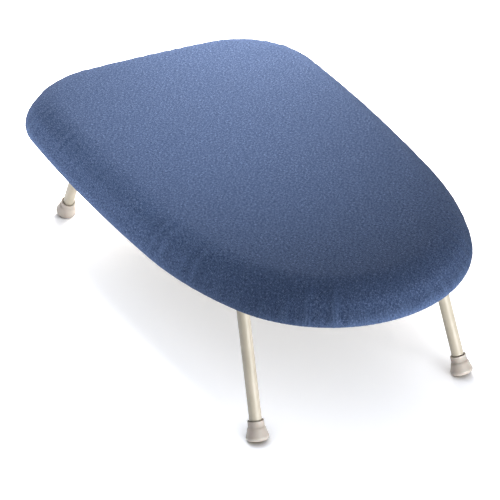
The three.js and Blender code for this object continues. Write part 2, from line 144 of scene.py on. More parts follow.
@contextmanager
def edited(mesh):
    """The mesh as a bmesh to change, which is written back afterwards."""
    shape = bmesh.new()
    shape.from_mesh(mesh)
    yield shape
    shape.to_mesh(mesh)
    shape.free()


def mesh_from(name, points, faces):
    """A mesh whose faces all look outwards."""
    mesh = bpy.data.meshes.new(name)
    mesh.from_pydata([tuple(p) for p in points], [], [tuple(int(i) for i in f) for f in faces])
    with edited(mesh) as shape:
        bmesh.ops.recalc_face_normals(shape, faces=shape.faces)
    return mesh


def applied(piece):
    """Replaces the piece's mesh with what its modifiers make of it."""
    graph = bpy.context.evaluated_depsgraph_get()
    mesh = bpy.data.meshes.new_from_object(piece.evaluated_get(graph))
    piece.modifiers.clear()
    piece.data = mesh
    return piece


def turns(sides):
    """Angles of points evenly spaced round a circle."""
    return 2 * math.pi * np.arange(sides) / sides


def band_faces(rings, count, closed_rings=False):
    """Quads between consecutive rings of count points each."""
    faces = []
    bands = rings if closed_rings else rings - 1
    j = np.arange(count)
    k = (j + 1) % count
    for i in range(bands):
        a = i * count
        b = (i + 1) % rings * count
        faces.append(np.stack([a + j, b + j, b + k, a + k], axis=1))
    return np.concatenate(faces)


def mirror_cap(first, count):
    """Faces across a ring that is symmetric about the X axis and starts on it."""
    faces = []
    for i in range(count // 2):
        corners = (i, i + 1, (count - i - 1) % count, (count - i) % count)
        face = [first + corner for corner in dict.fromkeys(corners)]
        if len(face) > 2:
            faces.append(face)
    return faces


def closed_form(rings):
    """Points and faces of a form with a cap across its first ring and its last."""
    count = len(rings[0])
    faces = band_faces(len(rings), count)[:, ::-1].tolist()
    faces += mirror_cap(0, count)
    faces += [face[::-1] for face in mirror_cap((len(rings) - 1) * count, count)]
    return np.concatenate(rings), faces


def top_rings(rim, count):
    """Rings over a flat top, from near its long axis out to just inside its rim."""
    shortest = 0.62  # part of the rim's length that is left where a ring has no width
    widths = np.linspace(0.02, 1, count + 1)[:-1]
    return [rim * [shortest + (1 - shortest) * width, width, 1] for width in widths]


# -------- plan outline
class Outline:
    """The board's outer outline, run anticlockwise from the middle of the back edge."""

    def __init__(self):
        arcs = []
        x = -LENGTH / 2
        y = 0.0
        for turn, radius, heading, travel in self.solve():
            centre = (x + radius * math.sin(heading), y - radius * math.cos(heading))
            arcs.append((centre, radius, heading + math.pi / 2, -turn))
            x += radius * travel[0]
            y += radius * travel[1]
        # The other half mirrors this one; run both anticlockwise, so through negative Y first.
        other = [((c[0], -c[1]), r, -start, -turn) for c, r, start, turn in arcs]
        back = [(c, r, start + turn, -turn) for c, r, start, turn in reversed(arcs)]
        self.arcs = other + back
        self.ends = np.cumsum([0.0] + [radius * abs(turn) for _, radius, _, turn in self.arcs])
        self.length = self.ends[-1]

    @staticmethod
    def solve():
        """Turn, radius, heading and travel per unit of radius, for each arc of one half."""
        heading = math.pi / 2
        sum_x = -LENGTH
        sum_y = 0.0
        arcs = []
        for degrees, radius in OUTLINE_ARCS:
            turn = math.radians(degrees)
            travel = (
                math.sin(heading) - math.sin(heading - turn),
                math.cos(heading - turn) - math.cos(heading),
            )
            if radius:
                sum_x += radius * travel[0]
                sum_y += radius * travel[1]
            arcs.append([turn, radius, heading, travel])
            heading -= turn
        free = [arc for arc in arcs if arc[1] is None]
        (ax, ay), (bx, by) = free[0][3], free[1][3]
        det = ax * by - ay * bx
        free[0][1] = (-sum_x * by + sum_y * bx) / det
        free[1][1] = (-ax * sum_y + ay * sum_x) / det
        return arcs

    def at(self, along):
        """Arc centres, radii and outward directions at distances along the outline."""
        along = np.mod(along, self.length)
        number = np.clip(np.searchsorted(self.ends, along, side="right") - 1, 0, len(self.arcs) - 1)
        centre, radius, start, turn = [np.array(values)[number] for values in zip(*self.arcs)]
        angle = start + np.sign(turn) * (along - self.ends[number]) / radius
        return centre, radius, np.stack([np.cos(angle), np.sin(angle)], axis=1)

    def points(self, along, inset):
        centre, radius, out = self.at(along)
        return centre + (radius - inset)[:, None] * out

    def ring(self, along, inset, z):
        return np.column_stack([self.points(along, inset), np.full(len(along), z)])

    def stations(self, count):
        """Distances of points evenly spaced along the outline."""
        return np.arange(count) * self.length / count


OUTLINE = Outline()


def edge_curve(inset, top, steps):
    """[inset, z] along a layer's edge, from its flat middle to where it stands upright."""
    angle = np.linspace(0, math.pi / 2, steps + 1)
    out = np.sin(angle) ** (2 / EDGE_POWER)
    up = np.clip(np.cos(angle), 0, 1) ** (2 / EDGE_POWER)
    return np.stack([inset + EDGE_REACH * (1 - out), EDGE_BOTTOM + (top - EDGE_BOTTOM) * up], axis=1)


def distances(profile):
    """How far along a profile each of its points lies."""
    steps = np.linalg.norm(np.diff(profile, axis=0), axis=1)
    return np.concatenate([[0], np.cumsum(steps)])


def outward_normals(profile):
    """Unit normals, out of the board, of a profile that runs from the top down over its edge."""
    tangent = np.gradient(profile, distances(profile), axis=0)
    tangent /= np.linalg.norm(tangent, axis=1)[:, None]
    return np.stack([tangent[:, 1], -tangent[:, 0]], axis=1)


def hollowed(profile):
    """An edge profile with the shallow hollow that the taut cloth presses into the foam's shoulder."""
    down = distances(profile)
    depth = HOLLOW_DEPTH * np.exp(-((down[-1] - down - HOLLOW_RISE) / HOLLOW_WIDTH) ** 2)
    return profile - depth[:, None] * outward_normals(profile)


def section_arc(across, up, radius, start, end, steps):
    """Points of an arc in a section. Angle 0 points across and 90 up."""
    angle = np.radians(np.linspace(start, end, steps + 1))
    return np.stack([across + radius * np.cos(angle), up + radius * np.sin(angle)], axis=1)


def hoop(name, inset, z, radius, stations, sides):
    """A round wire that runs all the way round the board."""
    along = OUTLINE.stations(stations)
    section = section_arc(inset, z, radius, 0, 360 - 360 / sides, sides - 1)
    rings = [OUTLINE.ring(along, *point) for point in section]
    faces = band_faces(sides, stations, closed_rings=True)[:, ::-1]
    return link(name, mesh_from(name, np.concatenate(rings), faces))


# -------- node materials
class Nodes:
    """A Principled material that is built up node by node."""

    def __init__(self, name, **values):
        self.material = bpy.data.materials.new(name)
        self.material.use_nodes = True
        self.tree = self.material.node_tree
        self.shader = self.tree.nodes["Principled BSDF"]
        self.set(**values)
        self.coordinates = self.tree.nodes.new("ShaderNodeTexCoord").outputs["Object"]

    def add(self, kind, inputs=(), **settings):
        node = self.tree.nodes.new(kind)
        for name, value in settings.items():
            setattr(node, name, value)
        for socket, value in dict(inputs).items():
            self.put(node.inputs[socket], value)
        return node

    def put(self, socket, value):
        if isinstance(value, bpy.types.NodeSocket):
            self.tree.links.new(value, socket)
        else:
            socket.default_value = value

    def attribute(self, name):
        return self.add("ShaderNodeAttribute", attribute_name=name).outputs["Vector"]

    def noise(self, scale, detail, roughness, where=None):
        inputs = {"Vector": where or self.coordinates, "Scale": scale}
        inputs |= {"Detail": detail, "Roughness": roughness}
        return self.add("ShaderNodeTexNoise", inputs).outputs["Fac"]

    def scaled(self, where, factors):
        return self.add("ShaderNodeMapping", {"Vector": where, "Scale": factors}).outputs["Vector"]

    def remap(self, value, low, high, to_low, to_high, **settings):
        inputs = {"Value": value, "From Min": low, "From Max": high, "To Min": to_low, "To Max": to_high}
        return self.add("ShaderNodeMapRange", inputs, **settings).outputs["Result"]

    def math(self, operation, a, b):
        return self.add("ShaderNodeMath", {0: a, 1: b}, operation=operation).outputs[0]

    def ramp(self, factor, stops):
        node = self.add("ShaderNodeValToRGB", {"Fac": factor})
        elements = node.color_ramp.elements
        while len(elements) < len(stops):
            elements.new(0.5)
        for element, (position, color) in zip(elements, stops):
            element.position = position
            element.color = (*color, 1)
        return node.outputs["Color"]

    def mix(self, factor, tone, color):
        """A tone that turns into one plain colour as the factor goes to 1."""
        inputs = {"Factor": factor, 6: tone, 7: (*color, 1)}
        return self.add("ShaderNodeMix", inputs, data_type="RGBA").outputs[2]

    def bump(self, height, distance, strength, normal=None):
        inputs = {"Height": height, "Distance": distance, "Strength": strength}
        if normal is not None:
            inputs["Normal"] = normal
        return self.add("ShaderNodeBump", inputs).outputs["Normal"]

    def mottled(self, scale, detail, roughness, dark, light, low=0.3):
        """Two tones in patches of noise."""
        return self.ramp(self.noise(scale, detail, roughness), [(low, dark), (1 - low, light)])

    def wander(self, scale, detail, roughness, low, high):
        """A value that goes from low to high and back in patches of noise."""
        return self.remap(self.noise(scale, detail, roughness), 0.3, 0.7, low, high)

    def grain(self, scale, detail, roughness, distance, strength):
        return self.bump(self.noise(scale, detail, roughness), distance, strength)

    def set(self, **sockets):
        """Sets or links the shader's own sockets, and gives the finished material."""
        for socket, value in sockets.items():
            self.put(self.shader.inputs[socket.replace("_", " ")], value)
        return self.material


def linear(red, green, blue):
    """sRGB from 0 to 255 as linear colour."""
    def one(value):
        value /= 255
        return value / 12.92 if value <= 0.04045 else ((value + 0.055) / 1.055) ** 2.4
    return one(red), one(green), one(blue)


def woven(m, cloth, pitch):
    """Height of a plain weave, with threads a pitch apart along both axes of the cloth."""
    scale = 2 * math.pi / pitch / 20  # a band is 2 pi / 20 wide at a scale of 1
    inputs = {"Vector": cloth, "Scale": scale, "Distortion": 0.8, "Detail": 1.0, "Detail Scale": 3.0}
    threads = [m.add("ShaderNodeTexWave", inputs, bands_direction=axis) for axis in ("X", "Y")]
    return m.math("MAXIMUM", *[thread.outputs["Fac"] for thread in threads])


def cover_fabric():
    """Brushed cotton: a fine plain weave under a felted nap, mottled with paler fibre flecks."""
    m = Nodes("brushed_cotton", Roughness=0.92, Specular_IOR_Level=0.03)
    m.set(Sheen_Weight=0.02, Sheen_Roughness=0.5, Sheen_Tint=(0.72, 0.8, 1, 1))
    cloth = m.attribute("cloth_position")
    warp = m.noise(1, 3, 0.65, m.scaled(cloth, (1000, 330, 0)))
    weft = m.noise(1, 3, 0.65, m.scaled(cloth, (330, 1000, 0)))
    mottle = m.math("MULTIPLY", m.math("ADD", warp, weft), 0.5)
    tone = m.ramp(mottle, [
        (0.37, linear(26, 37, 57)),
        (0.46, linear(45, 58, 84)),
        (0.53, linear(58, 72, 100)),
        (0.64, linear(95, 108, 139)),
    ])
    patches = m.remap(m.noise(40, 4, 0.6, cloth), 0.3, 0.7, 0.0, 0.3)
    tone = m.mix(patches, tone, linear(44, 58, 84))
    fleck = m.remap(m.noise(900, 2, 0.7, cloth), 0.63, 0.72, 0.0, 0.55)
    tone = m.mix(fleck, tone, linear(122, 140, 168))
    weave = woven(m, cloth, 0.62 * MM)
    # Painted shade: the cloth is darker where the weave is low, between the threads.
    tone = m.mix(m.remap(weave, 0, 1, 0.2, 0.0), tone, linear(33, 43, 62))
    height = m.math("ADD", m.math("MULTIPLY", weave, 0.5), m.noise(900, 3, 0.7, cloth))
    fine = m.bump(height, 0.16 * MM, 0.7)
    nap = m.bump(mottle, 0.14 * MM, 0.5, fine)
    # Where the elastic pulls, creases and paler streaks run down the cloth to the hem.
    pull = m.attribute("elastic_pull")
    strength = m.remap(m.add("ShaderNodeSeparateXYZ", {"Vector": pull}).outputs["Z"], 0.05, 0.9, 0.0, 1.0)
    creases = m.math("MULTIPLY", m.noise(1, 3, 0.6, m.scaled(pull, (620, 45, 0))), strength)
    pale = m.remap(m.noise(1, 2, 0.6, m.scaled(pull, (480, 38, 0))), 0.35, 0.65, 0.0, 0.5)
    tone = m.mix(m.math("MULTIPLY", pale, strength), tone, linear(88, 106, 138))
    return m.set(Base_Color=tone, Normal=m.bump(creases, 1.1 * MM, 0.6, nap))


def painted_steel():
    """Cream stove enamel with a faint orange peel and duller rubbed patches."""
    m = Nodes("cream_enamel", Metallic=0.0, Coat_Weight=0.1, Coat_Roughness=0.3)
    tone = m.ramp(m.noise(38, 3, 0.55), [
        (0.3, linear(166, 158, 141)),
        (0.5, linear(175, 167, 150)),
        (0.7, linear(182, 174, 158)),
    ])
    speck = m.remap(m.noise(2600, 2, 0.5), 0.7, 0.78, 0.0, 0.35)
    tone = m.mix(speck, tone, linear(150, 141, 124))
    return m.set(
        Base_Color=tone,
        Roughness=m.wander(120, 4, 0.6, 0.38, 0.56),
        Normal=m.grain(700, 2, 0.5, 0.06 * MM, 0.5),
    )


def foot_plastic():
    """Soft cream PVC, a little greyer than the enamel, scuffed and dusty low down."""
    m = Nodes("cream_pvc", Subsurface_Weight=0.08, Subsurface_Scale=1.5 * MM)
    height = m.add("ShaderNodeSeparateXYZ", {"Vector": m.coordinates}).outputs["Z"]
    tone = m.mottled(90, 3, 0.6, linear(170, 161, 152), linear(184, 176, 167))
    scuff = m.remap(m.noise(520, 4, 0.65), 0.5, 0.72, 0, 0.5)
    low_down = m.remap(height, 0.0, 12 * MM, 1.0, 0.12)
    return m.set(
        Base_Color=m.mix(m.math("MULTIPLY", scuff, low_down), tone, linear(150, 138, 126)),
        Roughness=m.wander(300, 3, 0.6, 0.34, 0.5),
        Normal=m.grain(850, 3, 0.6, 0.08 * MM, 0.6),
    )


def clip_plastic():
    """Moulded nylon with a fine spark-eroded texture."""
    m = Nodes("cream_nylon", Subsurface_Weight=0.05, Subsurface_Scale=1 * MM)
    return m.set(
        Base_Color=m.mottled(60, 2, 0.5, linear(222, 216, 202), linear(233, 228, 215)),
        Roughness=m.wander(400, 3, 0.6, 0.42, 0.58),
        Normal=m.grain(2200, 2, 0.6, 0.05 * MM, 0.7),
    )


def rivet_steel():
    """Zinc-plated steel, a little mottled."""
    m = Nodes("zinc_plate", Metallic=1.0)
    return m.set(
        Base_Color=m.mottled(500, 3, 0.6, (0.44, 0.45, 0.47), (0.62, 0.62, 0.62)),
        Roughness=m.wander(900, 3, 0.6, 0.24, 0.42),
        Normal=m.grain(1500, 2, 0.5, 0.03 * MM, 0.5),
    )


def open_foam():
    """Open-celled foam with a needle-felt backing."""
    m = Nodes("foam_and_felt", Roughness=0.95, Sheen_Weight=0.2)
    tone = m.mottled(300, 4, 0.7, linear(176, 170, 158), linear(214, 208, 196))
    return m.set(Base_Color=tone, Normal=m.grain(900, 4, 0.75, 0.5 * MM, 0.8))


def elastic_braid():
    """Braided elastic cord in undyed white, slightly uneven."""
    m = Nodes("elastic_braid", Roughness=0.8)
    tone = m.mottled(1500, 2, 0.6, linear(196, 192, 182), linear(232, 229, 220), low=0.35)
    return m.set(Base_Color=tone, Normal=m.grain(2400, 2, 0.6, 0.3 * MM, 0.8))


def stitch_thread():
    """Twisted polyester thread, paler than the cover's blue."""
    m = Nodes("sewing_thread", Roughness=0.6, Sheen_Weight=0.2)
    tone = m.mottled(2500, 2, 0.5, linear(96, 112, 152), linear(138, 152, 186), low=0.35)
    return m.set(Base_Color=tone, Normal=m.grain(3000, 2, 0.5, 0.1 * MM, 0.8))


FABRIC = cover_fabric()
THREAD = stitch_thread()
ELASTIC = elastic_braid()
FOAM = open_foam()
ENAMEL = painted_steel()
ZINC = rivet_steel()
PVC = foot_plastic()
NYLON = clip_plastic()


# -------- cover
def wandering(count, shortest, longest, seed):
    """Smooth noise round the outline, with a spread of 1 and waves between two lengths."""
    rng = np.random.default_rng(seed)
    waves = np.arange(math.ceil(OUTLINE.length / longest), math.floor(OUTLINE.length / shortest) + 1)
    phases = rng.uniform(0, 2 * math.pi, len(waves))
    sizes = rng.uniform(0.3, 1.0, len(waves))
    u = np.arange(count) / count
    total = (sizes[:, None] * np.cos(2 * math.pi * waves[:, None] * u + phases[:, None])).sum(axis=0)
    return total / total.std()


class CoverSurface:
    """The outer face of the cover, as a function of the distance round the board and down its edge."""

    SAMPLES = 8192  # of the noise round the outline
    PULL = 28 * MM  # over which gathers fade in, where the outline starts to curve
    TIGHT_RADIUS = 130 * MM  # of a curve whose tightness counts as 1
    PULL_RISE = 17 * MM  # how far up the edge the elastic pulls
    RISE_SPREAD = 8 * MM
    EDGE_FOLDS = 0.06 * MM  # height of gathers at the turn of the edge
    EDGE_FINE_FOLDS = 0.07 * MM
    HEM_FOLDS = 1.1 * MM  # and how much they gain underneath
    HEM_FINE_FOLDS = 0.2 * MM
    HEM_FADE = 12 * MM  # over which they gain it
    SOFTNESS = 0.18 * MM  # of the padded edge, which fades out towards the top and the hem
    SOFT_FADE = 20 * MM

    def __init__(self):
        edge = hollowed(edge_curve(0, TOP, 80))
        roll = section_arc(ROLL_RADIUS, EDGE_BOTTOM, ROLL_RADIUS, 180, 270, 12)[1:]
        casing = section_arc(HEM_INSET, ELASTIC_Z, CASING_RADIUS, -90, 90, 18)
        lip = [[HEM_LIP_INSET, ELASTIC_Z + CASING_RADIUS]]
        self.profile = np.concatenate([edge, roll, casing, lip])
        self.down = distances(self.profile)
        self.normal = outward_normals(self.profile)
        self.length = self.down[-1]
        self.roll_start = self.down[len(edge) - 1]
        self.hem_start = self.down[len(edge) + len(roll) - 1]
        self.casing_start = self.down[len(edge) + len(roll)]
        self.tightness = self.smoothed_curvature()
        self.folds = np.abs(wandering(self.SAMPLES, 9 * MM, 26 * MM, 3))
        self.fine_folds = wandering(self.SAMPLES, 3.6 * MM, 8 * MM, 5)
        self.reach = wandering(self.SAMPLES, 12 * MM, 60 * MM, 11)

    def smoothed_curvature(self):
        """How tightly the outline curves, blurred over the gathers' pull."""
        along = OUTLINE.stations(self.SAMPLES)
        curvature = 1 / OUTLINE.at(along)[1]
        wave = np.fft.rfftfreq(self.SAMPLES, OUTLINE.length / self.SAMPLES)
        blur = np.exp(-2 * (math.pi * wave * self.PULL) ** 2)
        return np.fft.irfft(np.fft.rfft(curvature) * blur, self.SAMPLES) * self.TIGHT_RADIUS

    def around(self, values, along):
        """Samples from round the whole outline, read at distances along it."""
        u = np.mod(along, OUTLINE.length) / OUTLINE.length * self.SAMPLES
        return np.interp(u, np.arange(self.SAMPLES + 1), np.append(values, values[0]))

    def gather(self, along, down):
        """How far the cloth stands off its plain shape, where the elastic draws its hem in."""
        tight = self.around(self.tightness, along)
        drawn = self.drawn(along, down)
        under = np.clip((down - self.hem_start) / self.HEM_FADE, 0, 1)
        broad = self.EDGE_FOLDS * drawn ** 2 + self.HEM_FOLDS * under
        fine = self.EDGE_FINE_FOLDS * drawn + self.HEM_FINE_FOLDS * under
        return tight * (broad * self.around(self.folds, along) + fine * self.around(self.fine_folds, along))

    def drawn(self, along, down):
        """How strongly the elastic pulls on the cloth, from 0 on top to 1 at the turn of the edge."""
        rise = self.PULL_RISE + self.RISE_SPREAD * self.around(self.reach, along)
        start = self.roll_start - rise
        return np.clip((down - start) / (self.hem_start - start), 0, 1)

    def pull(self, along, down):
        """Distance round the board, distance down its edge, and strength of the elastic's pull."""
        return np.column_stack([along, down, self.drawn(along, down) * self.around(self.tightness, along)])

    def softness(self, along, down):
        """Broad, slight unevenness of the padded edge."""
        fade_in = np.clip(down / self.SOFT_FADE, 0, 1)
        fade_out = np.clip((self.hem_start - down) / self.SOFT_FADE, 0, 1)
        return self.SOFTNESS * (fade_in * fade_out) * self.around(self.reach, along)

    def at(self, along, down, depth):
        """Points on the cover, depth under its outer face."""
        inset = np.interp(down, self.down, self.profile[:, 0])
        z = np.interp(down, self.down, self.profile[:, 1])
        normal = np.stack([np.interp(down, self.down, self.normal[:, k]) for k in (0, 1)], axis=-1)
        normal /= np.linalg.norm(normal, axis=-1)[..., None]
        off = self.gather(along, down) + self.softness(along, down) - depth
        centre, radius, out = OUTLINE.at(along)
        plan = centre + (radius - inset - off * normal[..., 0])[:, None] * out
        return np.column_stack([plan, z + off * normal[..., 1]])

    def cloth_position(self, along, down):
        """Where a point of the cover lies in the flat cut of cloth."""
        plan = OUTLINE.points(along, np.full(len(along), EDGE_REACH) - down)
        return np.column_stack([plan, np.zeros(len(along))])


def cover_mesh(surface):
    """The cloth as one closed form. Each point keeps its place in the flat cloth and the elastic's pull."""
    count = 960
    along = OUTLINE.stations(count)
    downs = np.concatenate([
        np.linspace(0, surface.roll_start, 25)[:-1],
        np.linspace(surface.roll_start, surface.hem_start, 5)[:-1],
        np.linspace(surface.hem_start, surface.casing_start, 7)[:-1],
        np.linspace(surface.casing_start, surface.length, 9),
    ])[:, None] * np.ones(count)
    rings = []
    places = []
    pulls = []
    for depth, step in ((0.0, 1), (COVER_THICKNESS, -1)):
        top = top_rings(surface.at(along, downs[0], depth), 9)
        flat_top = [ring * [1, 1, 0] for ring in top]
        no_pull = [0 * ring for ring in top]
        rings += (top + [surface.at(along, down, depth) for down in downs])[::step]
        places += (flat_top + [surface.cloth_position(along, down) for down in downs])[::step]
        pulls += (no_pull + [surface.pull(along, down) for down in downs])[::step]
    mesh = mesh_from("fitted_cover", *closed_form(rings))
    for name, values in (("cloth_position", places), ("elastic_pull", pulls)):
        stored = mesh.attributes.new(name, "FLOAT_VECTOR", "POINT")
        stored.data.foreach_set("vector", np.concatenate(values).astype(np.float32).ravel())
    return mesh


def flat_cut(reach):
    """Size and area of the flat cloth, which reaches this far out all round from the flat of the top."""
    plan = OUTLINE.points(OUTLINE.stations(2000), EDGE_REACH)
    x, y = plan.T
    top_area = abs(np.dot(x, np.roll(y, -1)) - np.dot(y, np.roll(x, -1))) / 2
    around = np.linalg.norm(plan - np.roll(plan, -1, axis=0), axis=1).sum()
    area = top_area + around * reach + math.pi * reach ** 2
    spread = 2 * (reach - EDGE_REACH)
    return (WIDTH + spread, LENGTH + spread), area


def make_cover():
    surface = CoverSurface()
    cover = link("fitted_cover", cover_mesh(surface))
    finish_piece(cover, FABRIC, replaces=["cover"], crease=None)
    size, cut = flat_cut(surface.length)
    stitches = make_stitches(surface)
    return cover


def make_stitches(surface):
    """The row of stitches that closes the elastic's casing, on the underside of the hem."""
    pitch = 3.4 * MM
    length = 2.3 * MM
    radius = 0.32 * MM
    sunk = 0.1 * MM  # into the cloth
    before_casing = 4.5 * MM
    profile = [(-1, 0.15), (-0.86, 0.62), (-0.5, 1), (0.5, 1), (0.86, 0.62), (1, 0.15)]
    sides = 6
    count = round(OUTLINE.length / pitch)
    middles = OUTLINE.stations(count)
    row = np.full(count, surface.casing_start - before_casing)
    points = []
    faces = []
    ends = [surface.at(middles + side * length / 2, row, sunk) for side in (-1, 1)]
    for start, end in zip(*ends):
        middle = (start + end) / 2
        axis = (end - start) / np.linalg.norm(end - start)
        across = np.cross(axis, [0, 0, 1])
        across /= np.linalg.norm(across)
        up = np.cross(across, axis)
        first = len(points)
        for reach, thick in profile:
            for turn in turns(sides):
                spoke = across * math.cos(turn) + up * math.sin(turn)
                points.append(middle + axis * reach * length / 2 + spoke * radius * thick)
        faces += (band_faces(len(profile), sides) + first).tolist()
        last = first + (len(profile) - 1) * sides
        faces.append([first + i for i in range(sides)])
        faces.append([last + i for i in reversed(range(sides))])
    stitches = link("hem_stitches", mesh_from("hem_stitches", points, faces))
    return finish_piece(stitches, THREAD, crease=None)


# -------- pad, rim wire and elastic
def make_pad():
    """Foam with a rounded edge, as a closed dish."""
    along = OUTLINE.stations(360)
    steps = 40
    outer = hollowed(edge_curve(PAD_INSET, PAD_TOP, steps))
    inner = edge_curve(PAD_INSET + PAD_EDGE_THICKNESS, PAD_TOP - PAD_THICKNESS, steps)
    half = PAD_EDGE_THICKNESS / 2
    lobe = section_arc(PAD_INSET + half, EDGE_BOTTOM, half, 180, 360, 6)[1:-1]
    layers = []
    for profile in (outer, inner):
        edge = [OUTLINE.ring(along, *point) for point in profile]
        layers.append(top_rings(edge[0], 11) + edge)
    hem = [OUTLINE.ring(along, *point) for point in lobe]
    rings = layers[0] + hem + layers[1][::-1]
    pad = link("foam_padding", mesh_from("foam_padding", *closed_form(rings)))
    finish_piece(pad, FOAM, replaces=["foam_pad"], crease=None)


def make_wires():
    """The steel wire round the panel's edge, and the elastic in the hem's casing."""
    stations = 480
    low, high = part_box("rim_wire")
    wire = hoop("beaded_rim_wire", RIM_WIRE_INSET, (low.z + high.z) / 2, RIM_WIRE_RADIUS, stations, 14)
    finish_piece(wire, ENAMEL, replaces=["rim_wire"], crease=None)
    cord = hoop("hem_elastic_braid", HEM_INSET, ELASTIC_Z, ELASTIC_RADIUS, stations, 10)
    finish_piece(cord, ELASTIC, replaces=["hem_elastic"], crease=None)


# -------- expanded-steel panel
class Panel:
    """A sheet of expanded steel, slit and stretched to diamonds, then pressed to a dish."""

    LONG = 15 * MM  # diamond's length, across the board
    SHORT = 7.4 * MM  # diamond's width, along the board
    STRAND = 1.9 * MM  # width of metal between diamonds
    MARGIN = 9 * MM  # plain band at the edge, on the flat sheet
    BAND = 0.75 * MARGIN  # outer part of it in even rings, before the part in triangles

    def __init__(self):
        self.profile = edge_curve(PANEL_INSET, PANEL_TOP - PANEL_THICKNESS / 2, 60)
        self.down = distances(self.profile)
        self.flat_inset = PANEL_INSET + EDGE_REACH
        self.blank_inset = self.flat_inset - self.down[-1]

    def inset(self, points):
        """How far points of the flat sheet lie inside the board's outline, and which way is out."""
        best = np.full(len(points), np.inf)
        out = np.zeros((len(points), 2))
        for centre, radius, start, turn in OUTLINE.arcs:
            away = points - centre
            distance = np.linalg.norm(away, axis=1)
            angle = np.arctan2(away[:, 1], away[:, 0])
            swept = np.mod((angle - start) * np.sign(turn), 2 * math.pi)
            nearest = (swept <= abs(turn) + 1e-6) & (radius - distance < best)
            best[nearest] = (radius - distance)[nearest]
            out[nearest] = (away / np.maximum(distance, 1e-9)[:, None])[nearest]
        return best, out

    def pressed(self, points):
        """Points of the flat sheet where the press leaves them on the dish."""
        inset, out = self.inset(points)
        down = np.clip(self.flat_inset - inset, 0, self.down[-1])
        onto = np.interp(down, self.down, self.profile[:, 0])
        z = np.interp(down, self.down, self.profile[:, 1])
        shift = np.where(down > 0, inset - onto, 0)
        return np.column_stack([points + shift[:, None] * out, z])

    def cell(self, column, row):
        """Outline and hole of one diamond, eight points each, on the flat sheet."""
        corners = np.array([(1, 0), (0.5, 0.5), (0, 1), (-0.5, 0.5)])
        corners = np.concatenate([corners, -corners])
        half = np.array([self.SHORT / 2, self.LONG / 2])
        centre = half * [column, row]
        hole = corners * (half - [self.STRAND * 0.62, self.STRAND * 1.15])
        hole[1::2] *= 1.04  # the sides of the hole are slightly full
        return centre + corners * half, centre + hole

    def flat_sheet(self):
        """Vertices and faces of the flat, slit sheet."""
        numbers = {}
        points = []
        faces = []
        border = {}  # the edges that only one diamond has

        def vertex(point):
            key = tuple(round(value / MM * 50) for value in point)  # the same to a fiftieth of a millimetre
            if key not in numbers:
                numbers[key] = len(points)
                points.append(point)
            return numbers[key]

        columns = int(LENGTH / self.SHORT) + 1
        rows = int(WIDTH / self.LONG) + 1
        shapes = []
        for column in range(-columns, columns + 1):
            shapes += [self.cell(column, row) for row in range(-rows, rows + 1) if (column + row) % 2 == 0]
        insets = self.inset(np.concatenate([outer for outer, _ in shapes]))[0].reshape(-1, 8)
        for (outer, hole), inset in zip(shapes, insets):
            if inset.min() <= self.blank_inset + self.MARGIN:
                continue
            ring = [vertex(p) for p in outer]
            inner = [vertex(p) for p in hole]
            for i in range(8):
                k = (i + 1) % 8
                faces.append((ring[i], ring[k], inner[k], inner[i]))
                if (ring[k], ring[i]) in border:
                    del border[ring[k], ring[i]]
                else:
                    border[ring[i], ring[k]] = True
        self.add_margin(points, faces, list(border))
        return np.array(points), faces

    def add_margin(self, points, faces, border):
        """Fills the margin between the diamonds and the edge of the blank with plain sheet."""
        count = 520
        along = OUTLINE.stations(count)
        first = len(points)
        band = np.linspace(self.blank_inset + self.BAND, self.blank_inset, 6)
        for inset in band:
            points.extend(OUTLINE.points(along, inset))
        faces.extend(map(tuple, (band_faces(len(band), count) + first)[:, ::-1]))
        used = sorted({v for edge in border for v in edge})
        local = {v: i for i, v in enumerate(used)}
        sources = used + list(range(first, first + count))
        edges = [(local[a], local[b]) for a, b in border]
        edges += [(len(used) + i, len(used) + (i + 1) % count) for i in range(count)]
        corners = [Vector(points[v]) for v in sources]
        made, _, triangles, origins, _, _ = delaunay_2d_cdt(corners, edges, [], 0, 1e-7)
        place = [sources[o[0]] if o else None for o in origins]
        for number, corner in enumerate(made):
            if place[number] is None:
                place[number] = len(points)
                points.append(np.array(corner))
        centres = np.array([sum((made[v] for v in t), Vector((0, 0))) / 3 for t in triangles])
        for triangle, keep in zip(triangles, self.within_margin(centres, border, points)):
            if keep:
                faces.append(tuple(place[v] for v in triangle))

    def within_margin(self, centres, border, points):
        """Whether each point lies between the diamonds and the even rings of the margin."""
        x, y = centres.T
        crossings = np.zeros(len(centres), int)
        for a, b in border:
            start, end = points[a], points[b]
            spans = (start[1] > y) != (end[1] > y)
            rise = end[1] - start[1] or 1
            crossings += spans & (x < start[0] + (y - start[1]) * (end[0] - start[0]) / rise)
        outside_diamonds = crossings % 2 == 0
        return outside_diamonds & (self.inset(centres)[0] > self.blank_inset + self.BAND)

    def make(self):
        points, faces = self.flat_sheet()
        mesh = mesh_from("expanded_steel_panel", self.pressed(points), faces)
        with edited(mesh) as shape:
            bmesh.ops.remove_doubles(shape, verts=shape.verts, dist=0.01 * MM)
            bmesh.ops.recalc_face_normals(shape, faces=shape.faces)
        panel = link("expanded_steel_panel", mesh)
        solid = panel.modifiers.new("thickness", "SOLIDIFY")
        solid.thickness = PANEL_THICKNESS
        solid.offset = 0
        finish_piece(applied(panel), ENAMEL, replaces=["mesh_panel"])


